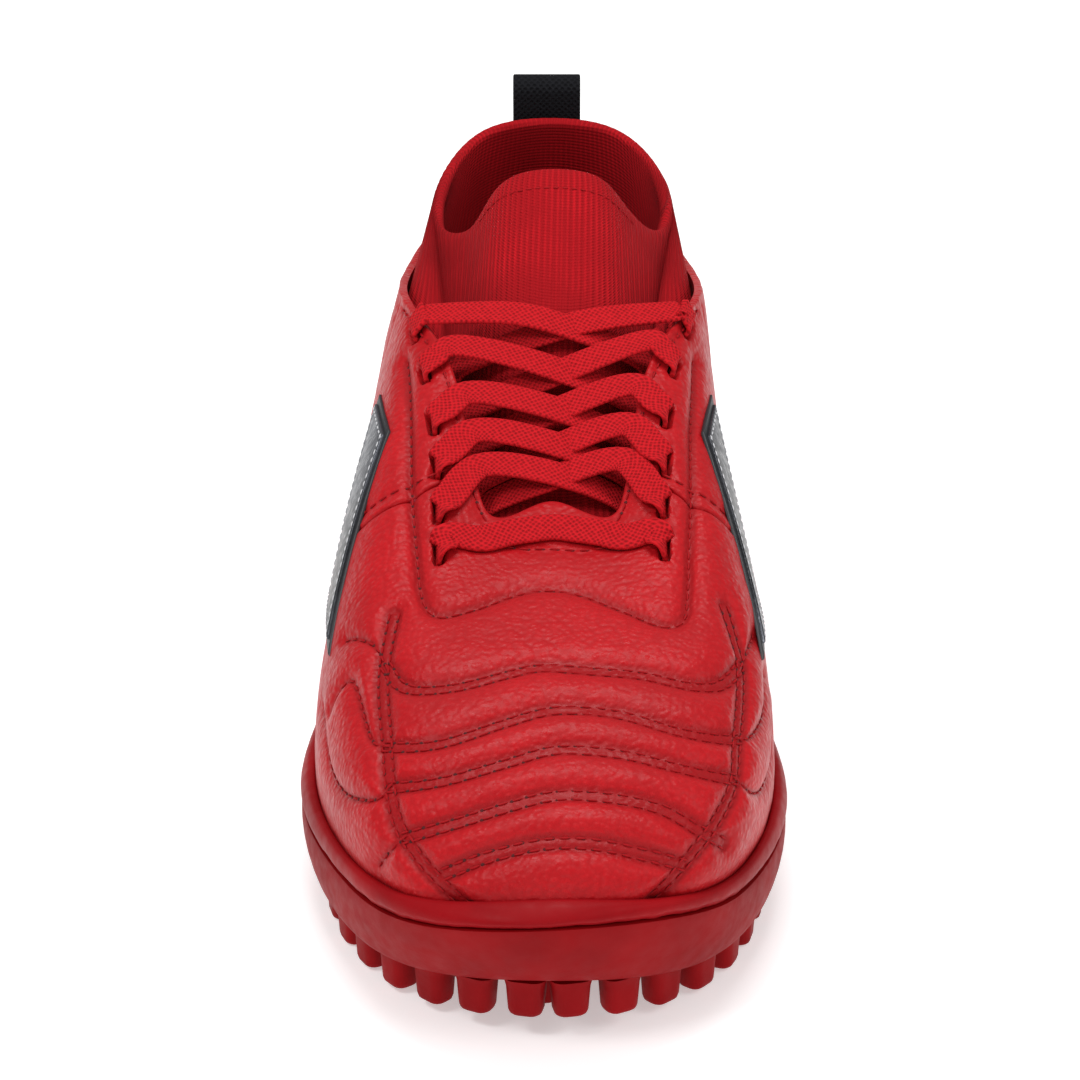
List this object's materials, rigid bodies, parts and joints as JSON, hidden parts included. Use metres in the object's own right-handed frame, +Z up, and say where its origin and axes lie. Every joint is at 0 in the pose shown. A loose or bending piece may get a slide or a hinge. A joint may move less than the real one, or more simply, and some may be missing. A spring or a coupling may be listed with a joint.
{
  "type": "turf football boot",
  "caption": "Right football boot for artificial turf: quilted leather upper, knitted collar and tongue, criss-cross lace, heel pull tab, rubber outsole with short studs.",
  "frame": {"origin": "bottom centre of the bounding box, on the plane of the stud tips", "axes": "+Z up from the ground; -Y towards the toe, +Y towards the heel; +X towards the medial side of the right foot"},
  "size_m": [0.1086, 0.298, 0.124],
  "materials": {
    "rubber": "matte moulded rubber",
    "eva": "smooth moulded foam",
    "board": "stitched lasting board",
    "sock": "knit-topped foam",
    "leather": "pebbled, soft semi-gloss",
    "foam": "open-cell foam",
    "puff": "thermoplastic sheet",
    "counter": "moulded board",
    "lining": "brushed textile",
    "knit": "ribbed knit",
    "tape": "woven tape",
    "lace": "flat woven cord",
    "panel": "plain dark synthetic",
    "film": "satin metallic film",
    "webbing": "woven webbing"
  },
  "bodies": {
    "boot": {"outsole": "rubber", "midsole": "eva", "strobel_board": "board", "sockliner": "sock", "vamp": "leather", "heel_panel": "leather", "vamp_foam": "foam", "toe_puff": "puff", "heel_counter": "counter", "vamp_lining": "lining", "heel_lining": "lining", "knit_bootie": "knit", "heel_strip": "webbing", "lace": "lace", "lateral_quarter": "leather", "lateral_quarter_foam": "foam", "lateral_eyelet_tape": "tape", "lateral_panel": "panel", "lateral_film": "film", "medial_quarter": "leather", "medial_quarter_foam": "foam", "medial_eyelet_tape": "tape", "medial_panel": "panel", "medial_film": "film"},
    "tab": {"pull_tab": "webbing"}
  },
  "joints": [
    {"name": "pull_tab_fold", "type": "hinge", "parent": "boot", "child": "tab", "pos_m": [0.00095, 0.1389, 0.091], "axis": [-1, 0, 0], "range_deg": [0, 65], "stiffness_Nm_per_rad": 0.01}
  ]
}
